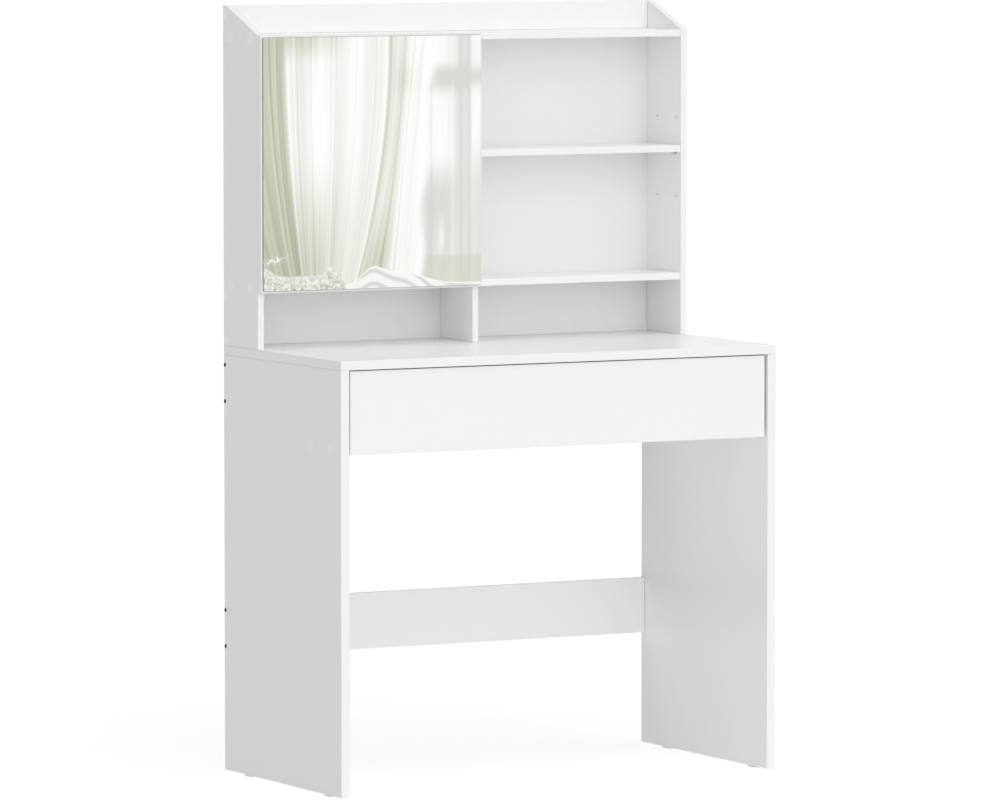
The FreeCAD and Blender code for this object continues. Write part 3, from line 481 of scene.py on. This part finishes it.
def bedding(picture, across, down):
    """White cloth that lies along the bottom, painted with fold shade and an edge highlight, and lace with
    small flowers in the left corner.
    """
    edge = 0.984 - 0.058 * bell(across, 0.50, 0.07) - 0.048 * bell(across, 0.64, 0.13)
    cover = ramp(down, edge, edge + 0.006) * ramp(across, 0.365, 0.385)
    cloth = paint(picture, cover, BED_CLOTH)
    slope = across * 0.60 - (down - edge) * 2.4
    folds = ramp(np.sin(52.0 * slope + 1.2 * np.sin(17.0 * across)), -0.2, 1.1)
    # Painted shade in the folds of the cloth.
    cloth = paint(cloth, cover * 0.60 * folds, BED_FOLD_SHADE)
    # Painted highlight along the top edge of the cloth.
    cloth = paint(cloth, cover * bell(down, edge + 0.004, 0.004), DAYLIGHT)
    lace_edge = 0.940 - 0.035 * bell(across, 0.0, 0.05) - 0.035 * bell(across, 0.310, 0.030)
    lace_edge += 0.9 * np.clip(across - 0.345, 0.0, 1.0)
    lace = ramp(down, lace_edge, lace_edge + 0.007)
    lace *= 1.0 - ramp(across, 0.37, 0.385)
    cloth = paint(cloth, lace, LACE)
    dots = speckle(across.shape, 14)
    leaves = speckle(across.shape, 15) * ramp(down, lace_edge, lace_edge + 0.06)
    cloth = paint(cloth, lace * 0.80 * leaves, LEAF)
    cloth = paint(cloth, lace * 0.85 * dots, PETAL)
    blossom = dots * bell(across, 0.05, 0.045) * bell(down, 0.888 - 0.18 * across, 0.010)
    return paint(cloth, np.clip(1.6 * blossom, 0.0, 1.0), BLOSSOM)


def curtain_corners():
    """Where the camera's lines of sight, turned back at the mirror's corners, meet a plane in front of it."""
    low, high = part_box("mirror_glass")
    seen_from = Vector((CAMERA_PLACE.x, 2 * low.y - CAMERA_PLACE.y, CAMERA_PLACE.z))
    middle = Vector(((low.x + high.x) / 2, low.y, (low.z + high.z) / 2))
    away = (middle - seen_from).normalized()
    corners = []
    for x, z in ((low.x, high.z), (high.x, high.z), (low.x, low.z), (high.x, low.z)):
        ray = Vector((x, low.y, z)) - seen_from
        reach = (middle + away * CURTAIN_DISTANCE - seen_from).dot(away) / ray.dot(away)
        corners.append(np.array(seen_from + ray * reach))
    return corners


def curtain():
    """Screen that shows in reflections only. It is painted by its folds, as a window lights them."""
    steps_across = np.linspace(-CURTAIN_MARGIN, 1.0 + CURTAIN_MARGIN, CURTAIN_COLUMNS)
    steps_down = np.linspace(-CURTAIN_MARGIN, 1.0 + CURTAIN_MARGIN, CURTAIN_ROWS)
    across, down = np.meshgrid(steps_across, steps_down)
    top_left, top_right, low_left, low_right = curtain_corners()
    top = top_left + across[..., None] * (top_right - top_left)
    low = low_left + across[..., None] * (low_right - low_left)
    places = top + down[..., None] * (low - top)
    inside = np.clip(down, 0.0, 1.0)
    picture = window(across, inside)
    picture = swept_curtain(picture, across, inside)
    picture = gathered_curtain(picture, across, inside)
    picture = bedding(picture, across, inside)
    index = np.arange(CURTAIN_ROWS * CURTAIN_COLUMNS).reshape(CURTAIN_ROWS, CURTAIN_COLUMNS)
    quads = np.stack((index[:-1, :-1], index[:-1, 1:], index[1:, 1:], index[1:, :-1]), axis=-1)
    data = bpy.data.meshes.new("curtain")
    data.from_pydata(places.reshape(-1, 3).tolist(), [], quads.reshape(-1, 4).tolist())
    tint = data.color_attributes.new("tint", "FLOAT_COLOR", "POINT")
    colors = np.ones((CURTAIN_ROWS * CURTAIN_COLUMNS, 4))
    colors[:, :3] = picture.reshape(-1, 3)
    tint.data.foreach_set("color", colors.ravel())
    data.materials.append(curtain_material())
    piece = bpy.data.objects.new("curtain", data)
    bpy.context.scene.collection.objects.link(piece)
    piece.visible_camera = False
    piece.visible_diffuse = False
    piece.visible_shadow = False
    piece.visible_transmission = False


def curtain_material():
    """Gives out the painted colours as light."""
    material = bpy.data.materials.new("daylit_curtain")
    material.use_nodes = True
    tree = material.node_tree
    tree.nodes.remove(tree.nodes["Principled BSDF"])
    glow = tree.nodes.new("ShaderNodeEmission")
    tint = tree.nodes.new("ShaderNodeVertexColor")
    tint.layer_name = "tint"
    tree.links.new(tint.outputs["Color"], glow.inputs["Color"])
    glow.inputs["Strength"].default_value = CURTAIN_GLOW
    tree.links.new(glow.outputs["Emission"], tree.nodes["Material Output"].inputs["Surface"])
    return material


curtain()


# ---------------------------------------------------------------- floor, light and camera
FLOOR_RADIUS = 260.0
FLOOR_SEEN_GLOW = 0.75
FLOOR_CAST_GLOW = 0.50


def floor_material(seen_glow, cast_glow):
    """White translucent studio floor, lit from below so that it shows next to no shadow.

    It is as bright to look at as seen_glow, and lights the table only by cast_glow.
    """
    g = Graph("pale_floor")
    color = g.blend(g.noise(3.0, 2.0), grey(0.36), grey(0.38))
    diffuse_ray = g.add("ShaderNodeLightPath").outputs["Is Diffuse Ray"]
    g.put(g.shader.inputs["Emission Strength"], g.span(diffuse_ray, seen_glow, cast_glow))
    return g.finish(color, 0.9, None, Specular_IOR_Level=0.0, Emission_Color=(1, 1, 1, 1))


def floor():
    """Large disc under the table."""
    disc = bmesh.new()
    bmesh.ops.create_circle(disc, cap_ends=True, segments=96, radius=FLOOR_RADIUS)
    data = bpy.data.meshes.new("floor")
    disc.to_mesh(data)
    disc.free()
    data.materials.append(floor_material(FLOOR_SEEN_GLOW, FLOOR_CAST_GLOW))
    piece = bpy.data.objects.new("floor", data)
    piece.location.z = CAD_BOX[0].z
    bpy.context.scene.collection.objects.link(piece)


def sun(name, azimuth, elevation, strength, spread):
    """Soft sun that stands in the given direction: azimuth 0 is in front of the table, 90 to its right."""
    light = bpy.data.lights.new(name, "SUN")
    light.energy = strength
    light.angle = math.radians(spread)
    lamp = bpy.data.objects.new(name, light)
    bpy.context.scene.collection.objects.link(lamp)
    a, e = math.radians(azimuth), math.radians(elevation)
    toward = Vector((math.sin(a) * math.cos(e), -math.cos(a) * math.cos(e), math.sin(e)))
    lamp.rotation_mode = "QUATERNION"
    lamp.rotation_quaternion = toward.to_track_quat("Z", "Y")


FACING_BACK = 0.2
FACING_FRONT = -0.8


def world(front_level, back_level, seen_level):
    """White studio whose soft light comes mostly from in front, and that is evenly white to look at."""
    place = bpy.data.worlds.new("studio")
    bpy.context.scene.world = place
    place.use_nodes = True
    tree = place.node_tree
    background = tree.nodes["Background"]
    background.inputs["Color"].default_value = (1, 1, 1, 1)
    direction = tree.nodes.new("ShaderNodeTexCoord")
    parts = tree.nodes.new("ShaderNodeSeparateXYZ")
    tree.links.new(direction.outputs["Generated"], parts.inputs["Vector"])
    facing = tree.nodes.new("ShaderNodeMapRange")
    facing.interpolation_type = "SMOOTHSTEP"
    facing.inputs["From Min"].default_value = FACING_BACK
    facing.inputs["From Max"].default_value = FACING_FRONT
    facing.inputs["To Min"].default_value = back_level
    facing.inputs["To Max"].default_value = front_level
    tree.links.new(parts.outputs["Y"], facing.inputs["Value"])
    path = tree.nodes.new("ShaderNodeLightPath")
    level = tree.nodes.new("ShaderNodeMapRange")
    level.inputs["To Min"].default_value = seen_level
    tree.links.new(path.outputs["Is Diffuse Ray"], level.inputs["Value"])
    tree.links.new(facing.outputs["Result"], level.inputs["To Max"])
    tree.links.new(level.outputs["Result"], background.inputs["Strength"])


CAMERA_YAW = 28.414
CAMERA_PITCH = 4.396
CAMERA_LENS = 266.6
SENSOR_WIDTH = 36.0
CLIP_START = 0.1
CLIP_END = 2000.0


def camera():
    data = bpy.data.cameras.new("camera")
    data.lens = CAMERA_LENS
    data.sensor_width = SENSOR_WIDTH
    data.clip_start = CLIP_START
    data.clip_end = CLIP_END
    view = bpy.data.objects.new("camera", data)
    bpy.context.scene.collection.objects.link(view)
    view.location = CAMERA_PLACE
    view.rotation_euler = (math.radians(90 - CAMERA_PITCH), 0, math.radians(-CAMERA_YAW))
    bpy.context.scene.camera = view


floor()
world(front_level=0.79, back_level=0.13, seen_level=1.0)
sun("front_light", azimuth=-5.0, elevation=22.0, strength=0.42, spread=44.0)
sun("top_light", azimuth=0.0, elevation=80.0, strength=1.10, spread=60.0)
camera()
bpy.context.scene.view_settings.view_transform = "Standard"
